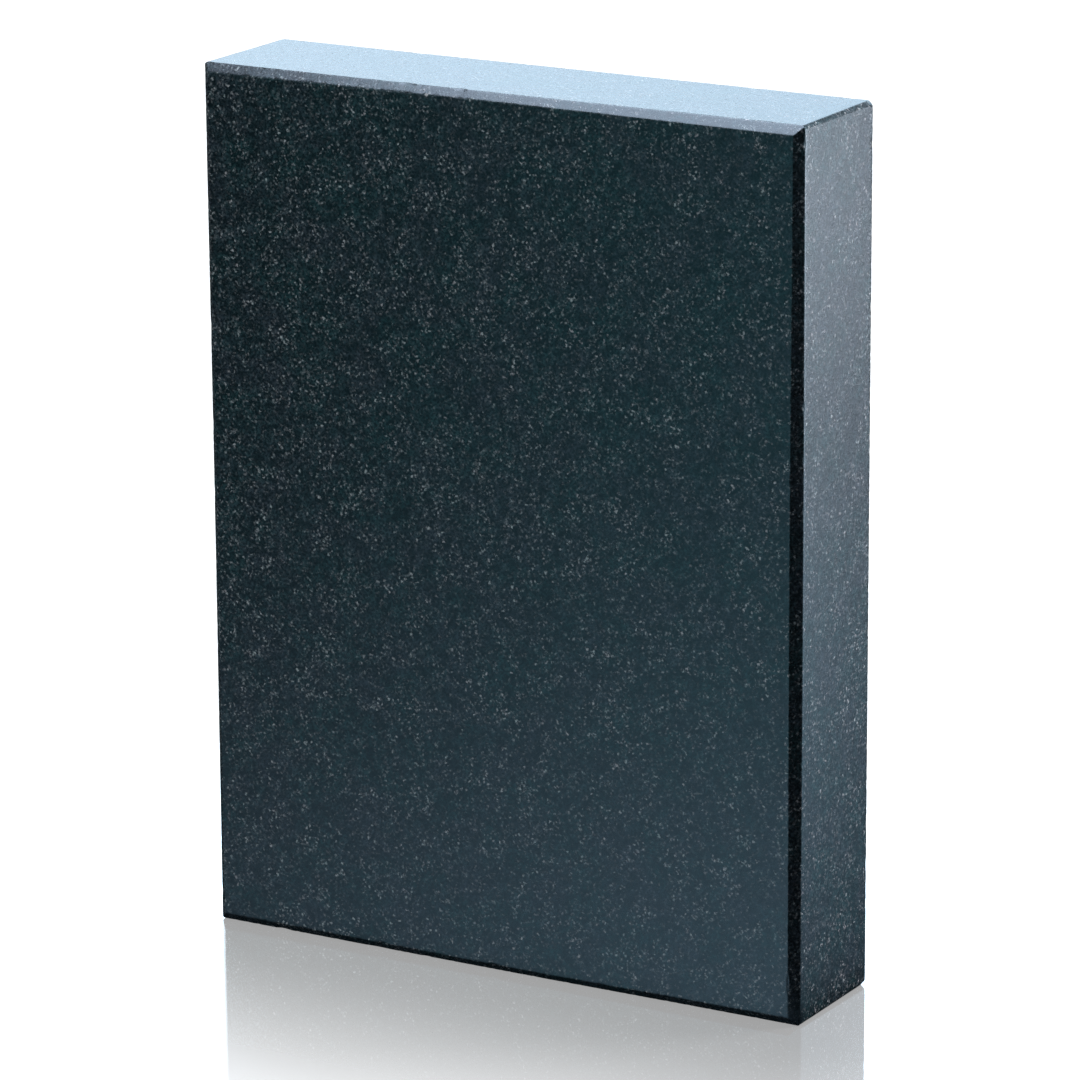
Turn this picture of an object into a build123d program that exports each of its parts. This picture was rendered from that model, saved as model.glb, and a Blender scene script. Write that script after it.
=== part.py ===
from build123d import *
import os

# A leatherworker's granite slab: one solid block of fine-grained black stone, cut 12 x 9 x 2 inches.
# It stands here on a short end, as it is stored or shown. In use it lies on its plain back, and leather is
# stamped or skived on the work face, which is the one with the wide ground chamfer.
#
# The frame, in millimetres: +Z up along the block's length, +X to the right across its width, and the work
# face towards -Y. The origin is the centre of the bottom end, at the height of the surface it stands on.

INCH = 25.4

# Driving dimensions
LENGTH = 12 * INCH  # along Z
WIDTH = 9 * INCH  # along X
THICKNESS = 2 * INCH  # along Y
WORK_CHAMFER = 3.0  # 45 degree chamfer all round the work face
ARRIS = 0.6  # small eased corner on every other edge, so that none is sharp

# The block is sawn square. Its work face is chamfered first, and the arris then runs out into that chamfer.
with BuildPart() as granite_block:
    with BuildSketch(Plane.XY):
        Rectangle(WIDTH, THICKNESS)
    extrude(amount=LENGTH)

    work_face = granite_block.faces().sort_by(Axis.Y).first
    chamfer(work_face.edges(), length=WORK_CHAMFER)

    back_face = granite_block.faces().sort_by(Axis.Y).last
    front_to_back_edges = granite_block.edges().filter_by(Axis.Y)
    chamfer([*back_face.edges(), *front_to_back_edges], length=ARRIS)

granite_block.part.label = "granite_block"

os.makedirs("parts", exist_ok=True)
export_step(granite_block.part, "parts/granite_block.step")
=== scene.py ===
import math

import bmesh
import bpy
from mathutils import Matrix, Vector, noise


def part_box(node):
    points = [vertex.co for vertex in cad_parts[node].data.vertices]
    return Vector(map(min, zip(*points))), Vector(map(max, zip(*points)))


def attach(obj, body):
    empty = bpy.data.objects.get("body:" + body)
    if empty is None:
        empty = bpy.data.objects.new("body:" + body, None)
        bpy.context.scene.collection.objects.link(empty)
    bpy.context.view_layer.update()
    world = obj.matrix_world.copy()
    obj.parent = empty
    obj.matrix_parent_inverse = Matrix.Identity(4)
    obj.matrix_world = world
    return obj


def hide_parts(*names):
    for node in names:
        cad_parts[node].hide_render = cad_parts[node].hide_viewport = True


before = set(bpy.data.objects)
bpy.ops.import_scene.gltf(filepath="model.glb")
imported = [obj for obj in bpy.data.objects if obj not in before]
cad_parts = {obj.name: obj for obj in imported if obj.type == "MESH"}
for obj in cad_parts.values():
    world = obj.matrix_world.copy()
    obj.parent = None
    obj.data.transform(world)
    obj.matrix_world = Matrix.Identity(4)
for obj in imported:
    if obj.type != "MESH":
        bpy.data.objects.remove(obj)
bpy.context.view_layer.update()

# The slab's own frame: +Z up along its length, +X across its width, the work face towards -Y.
LOW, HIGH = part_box("granite_block")
SIZE = Vector(HIGH) - Vector(LOW)
CENTRE = (Vector(LOW) + Vector(HIGH)) / 2
FRONT, BACK = LOW[1], HIGH[1]
MM = 0.001

# Ground edges. The work face's chamfer was ground by hand, so its width drifts as it goes round: these are
# its widths at the corners and at the middles of the sides, from the bottom left corner along the bottom.
CHAMFER_WIDTHS = [w * MM for w in (2.9, 2.6, 3.2, 3.3, 2.9, 2.45, 2.75, 3.2)]
ARRIS = 0.6 * MM  # the eased corner of every edge of the back face
CROSS_ARRIS = (0.8 * MM, 1.3 * MM)  # of the four short edges, at the front and at the back
BACK_CORNER_ARRIS = 2.0 * MM  # the four back corners are knocked off a little more
BACK_CORNER_LENGTH = 3 * MM  # over this length of the short edge
EDGE_ROUND = 0.28 * MM  # how far the softening of each ground edge reaches
MITRE_ROUND = 0.12 * MM  # the softened line where two chamfers meet
EDGE_STEP = 0.8 * MM  # mesh spacing along the edges
SMALL_CHIP = 0.16 * MM  # how deep a grain-sized loss goes
LARGE_CHIP = 0.55 * MM  # and a nick
GRAIN_LOSSES, NICKS = 620, 150  # how many of each a metre of edge could have

# Mesh spacing: rings inside each edge of the front and back faces, rows between two edges as shares of
# the way, and the wider and wider loops that lead to the even grid, as (inset, spacing).
RINGS = [d * MM for d in (0.55, 1.0, 2.2, 5.0)]
SIDE_ROWS = (0.012, 0.035, 0.09, 0.2, 0.35, 0.5, 0.65, 0.8, 0.91, 0.965, 0.988)
CHAMFER_ROWS = (0.12, 0.35, 0.65, 0.88)
FLAT_LOOPS = ((13 * MM, 2.4 * MM), (20 * MM, 6 * MM), (34 * MM, 12 * MM))
FACE_STUB = 10 * MM  # any length does: it only shows the profile which way the flat faces run

# The camera: where it stands seen from the slab's centre, and how it frames the slab.
AZIMUTH, ELEVATION, ROLL = math.radians(30.22), math.radians(15.4), math.radians(-0.34)
DISTANCE = 2.041  # metres
LENS, SENSOR = 201.3, 36.0  # millimetres
FRAME_RIGHT, FRAME_UP = -2.0 * MM, 5.1 * MM  # how far right and up the slab's centre sits in the frame

# Colours, as linear red, green, blue and alpha. The ground's teal and plum have a dark and a light shade.
TEAL = ((0.0, 0.001, 0.0015, 1), (0.009, 0.026, 0.028, 1))
PLUM = ((0.001, 0.001, 0.002, 1), (0.0195, 0.0245, 0.0315, 1))
FELSPAR = ((0.33, 0.375, 0.385, 1), (0.385, 0.37, 0.39, 1))  # greenish and pinkish grey
PIT = (0.001, 0.003, 0.004, 1)
WHITE = (1, 1, 1, 1)

# the glowing sheet under the floor is a painted reflection: pools of light and dark floor that only the
# slab's gloss sees
FLOOR_SIZE, PAINTED_REFLECTION_SIZE = 60, 12  # the sides, in metres, of the floor and of the glowing sheet under it
POLISH = 0.66  # the share of light that the floor mirrors at the slab's foot
POLISH_REACH = 0.22  # how far from the slab that share falls to nothing


# ---------------------------------------------------------------- the slab's mesh


def drift(t):
    """The chamfer's width at t, where t runs from 0 to 4 round the four sides."""
    at = (t % 4) * 2
    i = int(at)
    share = (1 - math.cos(math.pi * (at - i))) / 2
    wobble = 0.06 * MM * noise.noise(Vector((at * 9, 3.7, 0)))
    return CHAMFER_WIDTHS[i % 8] * (1 - share) + CHAMFER_WIDTHS[(i + 1) % 8] * share + wobble


def softened(before, edge, after, reach):
    """Three points that round the corner at edge, between the points before and after it."""
    first = edge + (before - edge).normalized() * reach
    last = edge + (after - edge).normalized() * reach
    return first, (first + 2 * edge + last) / 4, last


def profile(width):
    """The slab's outline cut across an edge, from the back face to the front face: points of
    (inset from the outer side, y), each with how much of the chipping it takes."""
    back_in = Vector((FACE_STUB, BACK))
    back_edge = Vector((ARRIS, BACK))
    side_back = Vector((0, BACK - ARRIS))
    side_front = Vector((0, FRONT + width))
    front_edge = Vector((width, FRONT))
    front_in = Vector((width + FACE_STUB, FRONT))
    corners = [back_in, back_edge, side_back, side_front, front_edge, front_in]
    soft = [softened(*corners[i - 1 : i + 2], EDGE_ROUND) for i in range(1, 5)]
    chipping = (0.45, 1.0, 0.45)

    points = [(Vector((ARRIS + ring, BACK)), 0.0) for ring in reversed(RINGS)]
    points += zip(soft[0], chipping, strict=True)
    points += zip(soft[1], chipping, strict=True)
    start, end = soft[1][2].y, soft[2][0].y
    for share in SIDE_ROWS:
        points.append((Vector((0, start + (end - start) * share)), 0.0))
    points += zip(soft[2], chipping, strict=True)
    for share in CHAMFER_ROWS:
        points.append((soft[2][2].lerp(soft[3][0], share), 0.12))
    points += zip(soft[3], chipping, strict=True)
    points += [(Vector((width + ring, FRONT)), 0.0) for ring in RINGS]
    return points


CORNERS = [(LOW[0], LOW[2]), (HIGH[0], LOW[2]), (HIGH[0], HIGH[2]), (LOW[0], HIGH[2])]
ALONG = [Vector((1, 0)), Vector((0, 1)), Vector((-1, 0)), Vector((0, -1))]  # of each side, in (x, z)


def inner_corner(i, inset):
    """The corner i of the rectangle that lies inset from the slab's four sides, in (x, z)."""
    return Vector(CORNERS[i % 4]) + (ALONG[i % 4] - ALONG[(i - 1) % 4]) * inset


def corner_cut(inset, y):
    """How far the eased corner reaches along the sides, on the loop at this inset and y."""
    depth = (y - FRONT) / (BACK - FRONT)
    near_back = max(0.0, 1 - (BACK - y) / BACK_CORNER_LENGTH)
    full = CROSS_ARRIS[0] + (CROSS_ARRIS[1] - CROSS_ARRIS[0]) * depth
    full += (BACK_CORNER_ARRIS - CROSS_ARRIS[1]) * near_back**2
    return max(full - 2 * inset, MITRE_ROUND)


def dense_loop(station):
    """One closed loop round the slab at a station of the profile, as rows of (t, position, chipping)."""
    loop = []
    for i in range(4):
        ends = []
        for corner in (i, i + 1):
            point, chips = profile(drift(corner))[station]
            vertex = inner_corner(corner, point.x)
            cut = corner_cut(point.x, point.y)
            a, b = vertex - ALONG[(corner - 1) % 4] * cut, vertex + ALONG[corner % 4] * cut
            reach = min(EDGE_ROUND, 0.4 * (b - a).length)
            far_a, far_b = a - ALONG[(corner - 1) % 4], b + ALONG[corner % 4]
            rounded = (*softened(far_a, a, b, reach), *softened(a, b, far_b, reach))
            ends.append((rounded, point.y, max(chips, 0.5 if cut > ARRIS / 2 else chips)))
        (first, y, chips), (second, _, _) = ends
        # the corner's six points share the whole number i as their t, all but a trace that keeps their order
        for k, p in enumerate(first):
            loop.append((i + (k - 2.5) * 1e-5, Vector((p.x, y, p.y)), chips))
        count = round(SIZE[0 if i % 2 == 0 else 2] / EDGE_STEP)
        outward = Vector((ALONG[i].y, -ALONG[i].x))
        for k in range(1, count):
            share = k / count
            point, chips = profile(drift(i + share))[station]
            along = (first[-1].lerp(second[0], share)).dot(ALONG[i])
            across = Vector(CORNERS[i]).dot(outward) - point.x
            p = ALONG[i] * along + outward * across
            loop.append((i + share, Vector((p.x, point.y, p.y)), chips))
    return loop


def coarse_loop(inset, y, step):
    """A plain rectangle inside a flat face, with points about step apart."""
    loop = []
    for i in range(4):
        a, b = inner_corner(i, inset), inner_corner(i + 1, inset)
        count = round((b - a).length / step)
        for k in range(count):
            p = a.lerp(b, k / count)
            loop.append((i + k / count, Vector((p.x, y, p.y)), 0.0))
    return loop


def zip_loops(bm, one, other):
    """Joins two loops of vertices, each a list of (t, vertex), with triangles."""
    one, other = one + [(one[0][0] + 4, one[0][1])], other + [(other[0][0] + 4, other[0][1])]
    i = j = 0
    while i < len(one) - 1 or j < len(other) - 1:
        if j == len(other) - 1 or (i < len(one) - 1 and one[i + 1][0] <= other[j + 1][0]):
            bm.faces.new((one[i][1], one[i + 1][1], other[j][1]))
            i += 1
        else:
            bm.faces.new((one[i][1], other[j + 1][1], other[j][1]))
            j += 1


def fill_flat(bm, rim, y):
    """Fills a flat face inside its dense rim with wider and wider loops, then an even grid."""
    for inset, step in FLAT_LOOPS:
        loop = [(t, bm.verts.new(p)) for t, p, _ in coarse_loop(inset, y, step)]
        zip_loops(bm, rim, loop)
        rim = loop
    across = sum(1 for t, _ in rim if t < 1)
    up = sum(1 for t, _ in rim if 1 <= t < 2)
    ring = [v for _, v in rim]
    grid = {}
    for k in range(across):
        grid[k, 0] = ring[k]
        grid[across - k, up] = ring[across + up + k]
    for k in range(up):
        grid[across, k] = ring[across + k]
        grid[0, up - k] = ring[(2 * across + up + k) % len(ring)]
    low, high = inner_corner(0, inset), inner_corner(2, inset)
    for i in range(1, across):
        for k in range(1, up):
            x = low.x + (high.x - low.x) * i / across
            z = low.y + (high.y - low.y) * k / up
            grid[i, k] = bm.verts.new((x, y, z))
    for i in range(across):
        for k in range(up):
            bm.faces.new((grid[i, k], grid[i + 1, k], grid[i + 1, k + 1], grid[i, k + 1]))


def chip_depth(p):
    """How deep the stone has crumbled at p, were it right on an edge: fine grain-sized losses all along
    it, and now and then a larger nick."""
    fine = max(0.0, noise.noise(p * GRAIN_LOSSES) - 0.05) * 1.6
    nick = max(0.0, noise.noise(p * NICKS + Vector((9, 4, 2))) - 0.42) * 2.2
    return fine * SMALL_CHIP + nick * LARGE_CHIP


def granite_slab():
    """The whole block as one closed mesh: flat faces, ground edges, and the crumbling along them."""
    bm = bmesh.new()
    chipping = []
    loops = []
    for station in range(len(profile(CHAMFER_WIDTHS[0]))):
        loop = []
        for t, p, chips in dense_loop(station):
            loop.append((t, bm.verts.new(p)))
            chipping.append(chips)
        loops.append(loop)
    for one, other in zip(loops, loops[1:], strict=False):
        for k in range(len(one)):
            n = (k + 1) % len(one)
            bm.faces.new((one[k][1], one[n][1], other[n][1], other[k][1]))
    fill_flat(bm, loops[0], BACK)
    fill_flat(bm, loops[-1], FRONT)
    bmesh.ops.recalc_face_normals(bm, faces=bm.faces)
    bm.normal_update()
    bm.verts.ensure_lookup_table()
    # only the dense loops have a share of the chipping; the flat faces' vertices come after them
    moves = [v.normal * chips * chip_depth(v.co) for v, chips in zip(bm.verts, chipping, strict=False)]
    for v, move in zip(bm.verts, moves, strict=False):
        v.co -= move
    for face in bm.faces:
        face.smooth = True
    mesh = bpy.data.meshes.new("granite_slab")
    bm.to_mesh(mesh)
    bm.free()
    slab = bpy.data.objects.new("granite_slab", mesh)
    bpy.context.scene.collection.objects.link(slab)
    return slab


# ---------------------------------------------------------------- materials


class Tree:
    """A short way to write a node tree."""

    def __init__(self, tree):
        self.tree = tree
        tree.nodes.clear()

    def node(self, kind, inputs=(), **settings):
        made = self.tree.nodes.new(kind)
        for name, value in settings.items():
            setattr(made, name, value)
        for name, value in dict(inputs).items():
            self.feed(made.inputs[name], value)
        return made

    def feed(self, socket, value):
        if isinstance(value, bpy.types.NodeSocket):
            self.tree.links.new(value, socket)
        else:
            socket.default_value = value

    def math(self, operation, a, b=0.0, clamp=False):
        made = self.node("ShaderNodeMath", operation=operation, use_clamp=clamp)
        self.feed(made.inputs[0], a)
        self.feed(made.inputs[1], b)
        return made.outputs[0]

    def vector(self, operation, a, b=(0, 0, 0)):
        made = self.node("ShaderNodeVectorMath", operation=operation)
        self.feed(made.inputs[0], a)
        self.feed(made.inputs[1], b)
        return made.outputs[0]

    def ramp(self, value, low, high, to_low=0.0, to_high=1.0):
        """value from low to high becomes to_low to to_high, smoothly, and stays there past them."""
        made = self.node("ShaderNodeMapRange", interpolation_type="SMOOTHSTEP")
        for i, v in enumerate((value, low, high, to_low, to_high)):
            self.feed(made.inputs[i], v)
        return made.outputs[0]

    def noise(self, place, scale, detail=2.0, rough=0.5):
        inputs = {"Vector": place, "Scale": scale, "Detail": detail, "Roughness": rough}
        return self.node("ShaderNodeTexNoise", inputs).outputs[0]

    def product(self, first, *others):
        for other in others:
            first = self.math("MULTIPLY", first, other)
        return first

    def mix(self, share, a, b, blend="MIX"):
        made = self.node("ShaderNodeMix", data_type="RGBA", blend_type=blend)
        self.feed(made.inputs[0], share)
        self.feed(made.inputs[6], a)
        self.feed(made.inputs[7], b)
        return made.outputs[2]


def crystals(n, place, scale, radius, rarity):
    """Scattered crystals: how strongly they show at each spot, and a random number from 0 to 1 for each.
    Scale is how many there are to a millimetre; a high rarity leaves most of them faint."""
    cell = n.node("ShaderNodeTexVoronoi", {"Vector": place, "Scale": scale}, feature="F1").outputs
    inside = n.ramp(cell["Distance"], 0.25 * radius * scale, radius * scale, 1.0, 0.0)
    chance = n.node("ShaderNodeSeparateColor", {"Color": cell["Color"]}).outputs
    return n.product(inside, n.math("POWER", chance[0], rarity)), chance[1]


def granite_material():
    """Fine-grained black granite: a dark teal ground crowded with grey crystals of felspar, in drifts."""
    mat = bpy.data.materials.new("black_granite")
    mat.use_nodes = True
    n = Tree(mat.node_tree)
    metres = n.node("ShaderNodeTexCoord").outputs["Object"]
    # in millimetres, and turned, so that no face lies along the grid of the noise
    turn = {"Vector": metres, "Rotation": (0.5, 0.7, 0.3), "Scale": (1 / MM, 1 / MM, 1 / MM)}
    place = n.node("ShaderNodeMapping", turn).outputs[0]
    elsewhere = n.vector("ADD", place, (71.0, 13.0, 37.0))  # for noise that has nothing to do with the rest

    # the crystals' outlines are bent, so that they are not round
    warp = n.node("ShaderNodeTexNoise", {"Vector": place, "Scale": 1.3, "Detail": 2.0}).outputs["Color"]
    bend = n.vector("MULTIPLY", n.vector("SUBTRACT", warp, (0.5, 0.5, 0.5)), (1.9, 1.9, 1.9))
    bent = n.vector("ADD", place, bend)

    # how crowded the crystals are, the ground's hue and its strength, each in its own drifts, and the grain
    crowd = n.ramp(n.noise(place, 0.11, 5.0, 0.65), 0.36, 0.66, 0.35, 1.7)
    hue = n.ramp(n.noise(elsewhere, 0.06, 4.0, 0.6), 0.35, 0.65)
    haze = n.ramp(n.noise(elsewhere, 0.3, 2.0, 0.5), 0.3, 0.7, 0.35, 1.65)
    fine = n.noise(place, 1.1, 3.0, 0.6)

    small, _ = crystals(n, bent, scale=0.9, radius=0.6, rarity=2.0)
    middle, pinkness = crystals(n, bent, scale=0.6, radius=0.6, rarity=5.0)
    large, _ = crystals(n, bent, scale=0.13, radius=0.6, rarity=3.0)
    pit, _ = crystals(n, elsewhere, scale=0.45, radius=0.4, rarity=4.0)
    pale = n.math("ADD", n.product(small, 0.7), n.product(middle, 1.55))
    pale = n.product(pale, n.ramp(fine, 0.3, 0.65, 0.2, 1.3), crowd)
    pale = n.math("ADD", pale, n.product(large, 0.8), clamp=True)

    grain = n.ramp(fine, 0.3, 0.7)
    ground = n.mix(1.0, n.mix(hue, n.mix(grain, *TEAL), n.mix(grain, *PLUM)), haze, "MULTIPLY")
    stone = n.mix(pale, ground, n.mix(pinkness, *FELSPAR))
    stone = n.mix(pit, stone, PIT)

    relief = n.math("SUBTRACT", n.math("ADD", fine, n.product(pale, 0.8)), n.product(pit, 0.8))
    bump = n.node("ShaderNodeBump", {"Strength": 0.8, "Distance": 0.00004, "Height": relief})
    rough = n.math("ADD", n.ramp(fine, 0.3, 0.7, 0.24, 0.3), n.product(pit, 0.35))
    shader = n.node(
        "ShaderNodeBsdfPrincipled",
        {"Base Color": stone, "Roughness": rough, "Normal": bump.outputs[0], "IOR": 1.52},
    )
    n.node("ShaderNodeOutputMaterial", {"Surface": shader.outputs[0]})
    return mat


def floor_material():
    """A white sweep that glows evenly, polished close round the slab, so that its foot is mirrored there
    and fades out."""
    mat = bpy.data.materials.new("pale_floor")
    mat.use_nodes = True
    n = Tree(mat.node_tree)
    place = n.node("ShaderNodeNewGeometry").outputs["Position"]
    beyond = n.vector("SUBTRACT", n.vector("ABSOLUTE", place), (SIZE.x / 2, SIZE.y / 2, 0))
    outside = n.vector("MAXIMUM", beyond, (0, 0, 0))
    away = n.node("ShaderNodeVectorMath", {"Vector": outside}, operation="LENGTH").outputs["Value"]
    polish = n.ramp(away, 0.0, POLISH_REACH, POLISH, 0.0)
    paint = n.node(
        "ShaderNodeBsdfPrincipled",
        {"Base Color": (0.1, 0.1, 0.1, 1), "Emission Color": WHITE, "Emission Strength": 1.02},
    )
    mirror = n.node("ShaderNodeBsdfGlossy", {"Color": WHITE, "Roughness": 0.02})
    mixed = n.node("ShaderNodeMixShader", {0: polish, 1: paint.outputs[0], 2: mirror.outputs[0]})
    n.node("ShaderNodeOutputMaterial", {"Surface": mixed.outputs[0]})
    return mat


# ---------------------------------------------------------------- stage, light and camera


def plane(name, material, width, height, location, facing):
    """A flat rectangle facing a direction, as part of the stage."""
    mesh = bpy.data.meshes.new(name)
    w, h = width / 2, height / 2
    mesh.from_pydata([(-w, -h, 0), (w, -h, 0), (w, h, 0), (-w, h, 0)], [], [(0, 1, 2, 3)])
    mesh.materials.append(material)
    made = bpy.data.objects.new(name, mesh)
    made.location = location
    made.rotation_euler = Vector(facing).to_track_quat("Z", "Y").to_euler()
    bpy.context.scene.collection.objects.link(made)
    return made


def glow(name, colour, strength):
    """An evenly glowing material."""
    mat = bpy.data.materials.new(name)
    mat.use_nodes = True
    n = Tree(mat.node_tree)
    light = n.node("ShaderNodeEmission", {"Color": (*colour, 1), "Strength": strength})
    n.node("ShaderNodeOutputMaterial", {"Surface": light.outputs[0]})
    return mat


def painted_reflection_material():
    """A glowing sheet that only the slab's gloss sees. It is a painted reflection of the floor, laid out for
    the camera's
    azimuth: a pool of light in front of the slab, which fades as it goes out and to the left, one behind to
    the right, brighter further off, and painted dark floor between them."""
    mat = bpy.data.materials.new("painted_reflection_sheet")
    mat.use_nodes = True
    n = Tree(mat.node_tree)
    place = n.node("ShaderNodeNewGeometry").outputs["Position"]
    x, y, _ = n.node("ShaderNodeSeparateXYZ", {"Vector": place}).outputs
    # where on the front face, from left to right, and on the side, from front to back, a spot is mirrored as
    # seen from the camera's azimuth, so that the painted pools line up with that view
    slant = math.tan(AZIMUTH)
    across_front = n.math("SUBTRACT", x, n.product(y, slant))
    across_side = n.math("SUBTRACT", y, n.math("DIVIDE", n.math("SUBTRACT", x, HIGH[0]), slant))

    # the painted pool of light in front ends at the face's right rim, and is brightest to the right and
    # close by
    right_rim = n.ramp(n.math("ADD", across_front, n.product(y, 0.6)), 0.1, 0.14, 1.0, 0.0)
    before_slab = n.ramp(y, FRONT, FRONT - 0.015)
    left_level = n.ramp(y, -0.5, -0.05, 0.0, 0.7)
    sideways = n.ramp(across_front, -0.25, 0.3, left_level, 2.75)
    outwards = n.ramp(y, -0.85, -0.03, 0.23, 0.64)
    front = n.product(right_rim, before_slab, sideways, outwards)

    # the painted pool of light behind is brightest where the side's front edge mirrors it; its fade is
    # sharper further off
    reach = n.ramp(y, 0.0, 0.7, 0.16, 0.035)
    fade = n.ramp(n.math("DIVIDE", across_side, reach), -1.0, 1.0, 1.95, 0.05)
    behind_front = n.ramp(y, FRONT - 0.01, 0.0)
    right_of_slab = n.ramp(x, HIGH[0], HIGH[0] + 0.02)
    rising = n.math("ADD", n.ramp(y, -0.1, 0.7, 0.2, 2.05), n.ramp(y, 0.72, 1.05, 0.0, 2.6))
    rear = n.product(fade, behind_front, right_of_slab, rising)

    # how bright the painted reflection is at each spot, and its tint: bluer close by, paler far off
    strength = n.math("ADD", n.math("ADD", front, rear), 0.025)
    near = n.mix(n.ramp(y, -0.9, -0.1), (0.25, 0.8, 1.0, 1), (0.44, 0.75, 1.0, 1))
    colour = n.mix(n.ramp(y, 0.0, 1.0), near, (0.72, 0.85, 1.0, 1))
    light = n.node("ShaderNodeEmission", {"Color": colour, "Strength": strength})
    n.node("ShaderNodeOutputMaterial", {"Surface": light.outputs[0]})
    return mat


def reflected_only(thing):
    """Leaves a part of the stage to be seen in gloss alone."""
    thing.visible_camera = False
    thing.visible_diffuse = False
    thing.visible_shadow = False


def soft_lamp(name, watts, size, location, colour):
    """A large soft lamp, aimed at the slab, that lights surfaces but is not seen mirrored in them."""
    light = bpy.data.lights.new(name, "AREA")
    light.size, light.energy, light.color = size, watts, colour
    lamp = bpy.data.objects.new(name, light)
    lamp.location = location
    lamp.rotation_euler = (Vector(location) - CENTRE).to_track_quat("Z", "Y").to_euler()
    lamp.visible_camera = False
    lamp.visible_glossy = False
    bpy.context.scene.collection.objects.link(lamp)


def build_world():
    """White behind everything, dim for plain light, and for reflections a pale blue band above the
    horizon, brightest behind and to the left."""
    world = bpy.data.worlds.new("studio")
    world.use_nodes = True
    bpy.context.scene.world = world
    n = Tree(world.node_tree)
    towards = n.node("ShaderNodeTexCoord").outputs["Generated"]
    x, y, z = n.node("ShaderNodeSeparateXYZ", {"Vector": towards}).outputs
    band = n.product(n.ramp(z, 0.02, 0.12), n.ramp(z, 0.33, 0.46, 1.0, 0.05))
    behind_left = n.product(n.ramp(y, -0.2, 0.75), n.ramp(x, -0.2, 0.35, 1.0, 0.0))
    extra = n.product(behind_left, n.ramp(x, -0.7, -0.35, 2.95, 2.1))
    sky = n.product(band, n.math("ADD", n.ramp(x, -0.5, 0.3, 0.9, 1.3), extra))
    rear_blue = n.mix(n.ramp(x, -0.7, -0.35), (0.67, 0.84, 1.0, 1), (0.63, 0.85, 1.05, 1))
    blue = n.mix(n.ramp(y, -0.6, 0.2), (0.4, 0.82, 1.0, 1), rear_blue)

    mirrored = n.node("ShaderNodeBackground", {"Color": blue, "Strength": sky}).outputs[0]
    dim = n.node("ShaderNodeBackground", {"Color": (0.8, 0.9, 1.0, 1), "Strength": 0.08}).outputs[0]
    white = n.node("ShaderNodeBackground", {"Color": WHITE, "Strength": 1.2}).outputs[0]
    ray = n.node("ShaderNodeLightPath").outputs
    unseen = n.node("ShaderNodeMixShader", {0: ray["Is Glossy Ray"], 1: dim, 2: mirrored}).outputs[0]
    light = n.node("ShaderNodeMixShader", {0: ray["Is Camera Ray"], 1: unseen, 2: white}).outputs[0]
    n.node("ShaderNodeOutputWorld", {"Surface": light})


def build_stage():
    """The floor under the slab, the glowing sheet of painted reflection and the card that its gloss mirrors,
    and the lamps.
    """
    up, down = (0, 0, 1), (0, 0, -1)
    floor = plane("floor", floor_material(), FLOOR_SIZE, FLOOR_SIZE, (0, 0, LOW[2]), up)
    floor.visible_glossy = False
    floor.visible_diffuse = False
    # a glowing sheet under the floor that paints the pools of light and dark floor in the slab's reflections
    painted_reflection = plane("painted_reflection_sheet", painted_reflection_material(), PAINTED_REFLECTION_SIZE, PAINTED_REFLECTION_SIZE, (0, 0, LOW[2] - 2 * MM), up)
    reflected_only(painted_reflection)
    ceiling_glow = glow("ceiling", (0.63, 0.785, 1.0), 8.5)
    ceiling = plane("ceiling_card", ceiling_glow, 1.45, 1.4, (0.28, -0.15, 0.9), down)
    reflected_only(ceiling)

    soft_lamp("overhead", 9, 1.6, (0.0, 0.0, 1.9), (0.97, 0.99, 1.0))
    soft_lamp("key", 29, 1.0, (-1.5, -1.1, 0.9), (0.94, 0.99, 1.0))
    soft_lamp("rear_side", 17, 0.35, (0.6, 0.55, 0.7), (1.0, 0.97, 1.0))
    build_world()


def build_camera():
    """A long lens at the photo's viewing angle. It has no shift, so the other views stay framed."""
    flat = math.cos(ELEVATION)
    back = Vector((math.sin(AZIMUTH) * flat, -math.cos(AZIMUTH) * flat, math.sin(ELEVATION)))
    level = Vector((math.cos(AZIMUTH), math.sin(AZIMUTH), 0))
    upward = back.cross(level)
    right = level * math.cos(ROLL) + upward * math.sin(ROLL)
    up = back.cross(right)
    data = bpy.data.cameras.new("camera")
    data.lens, data.sensor_width = LENS, SENSOR
    data.clip_start, data.clip_end = 0.05, 100
    camera = bpy.data.objects.new("camera", data)
    place = CENTRE + back * DISTANCE - right * FRAME_RIGHT - up * FRAME_UP
    camera.matrix_world = Matrix.Translation(place) @ Matrix((right, up, back)).transposed().to_4x4()
    bpy.context.scene.collection.objects.link(camera)
    bpy.context.scene.camera = camera


slab = granite_slab()
slab.data.materials.append(granite_material())
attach(slab, "root")
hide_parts("granite_block")
build_stage()
build_camera()
bpy.context.scene.view_settings.view_transform = "Standard"
